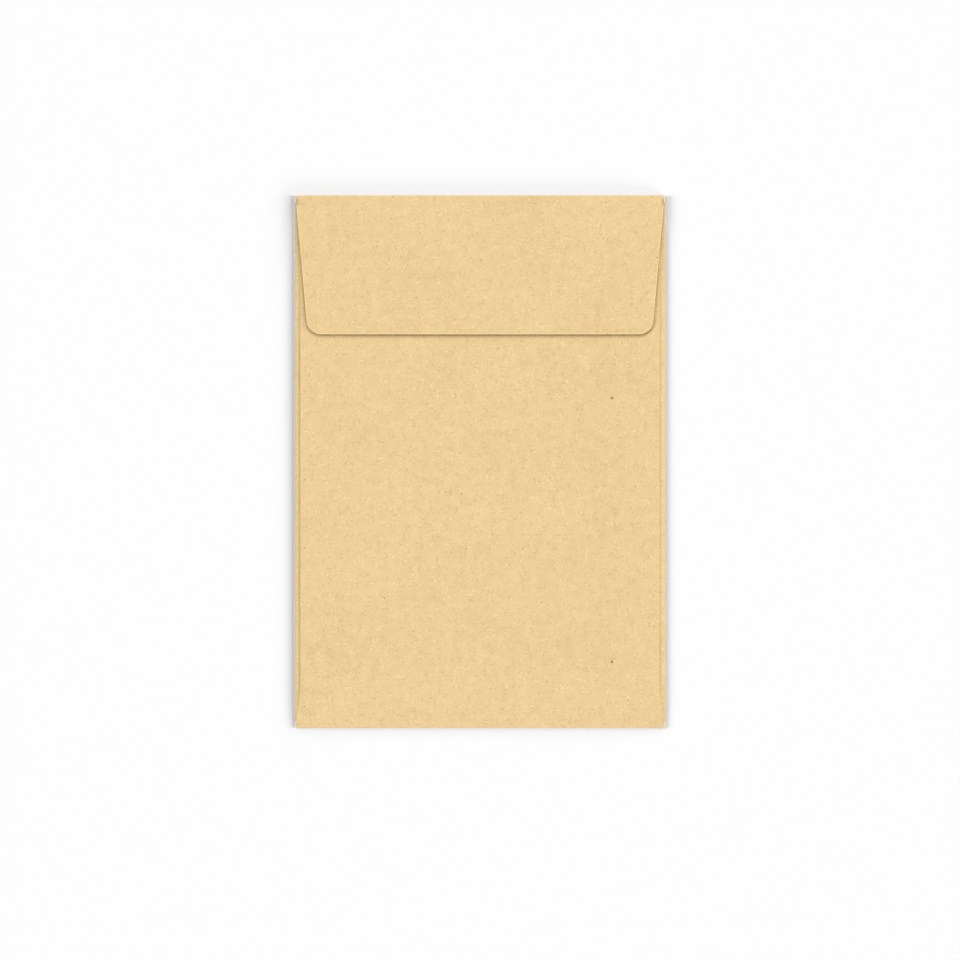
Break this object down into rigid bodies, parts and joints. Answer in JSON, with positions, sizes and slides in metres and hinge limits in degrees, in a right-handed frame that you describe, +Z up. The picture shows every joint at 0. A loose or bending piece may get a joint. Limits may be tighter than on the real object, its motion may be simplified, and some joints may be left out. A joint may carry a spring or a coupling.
{
  "type": "paper envelope",
  "caption": "Kraft paper pocket envelope lying flat, with its mouth at a short side, seams inside its long sides and a deep, round-cornered flap folded over the back, closed but not stuck.",
  "frame": {"origin": "centre of the address side's flat face, which the envelope lies on", "axes": "+X across the envelope's width, +Y along its height towards the top flap, +Z up out of the flap side"},
  "size_m": [0.16, 0.23, 0.0015],
  "materials": {
    "kraft_paper": "plain unbleached kraft, matt, with fine fibres and a few dark specks"
  },
  "bodies": {
    "root": {"envelope": "kraft_paper"}
  },
  "joints": []
}
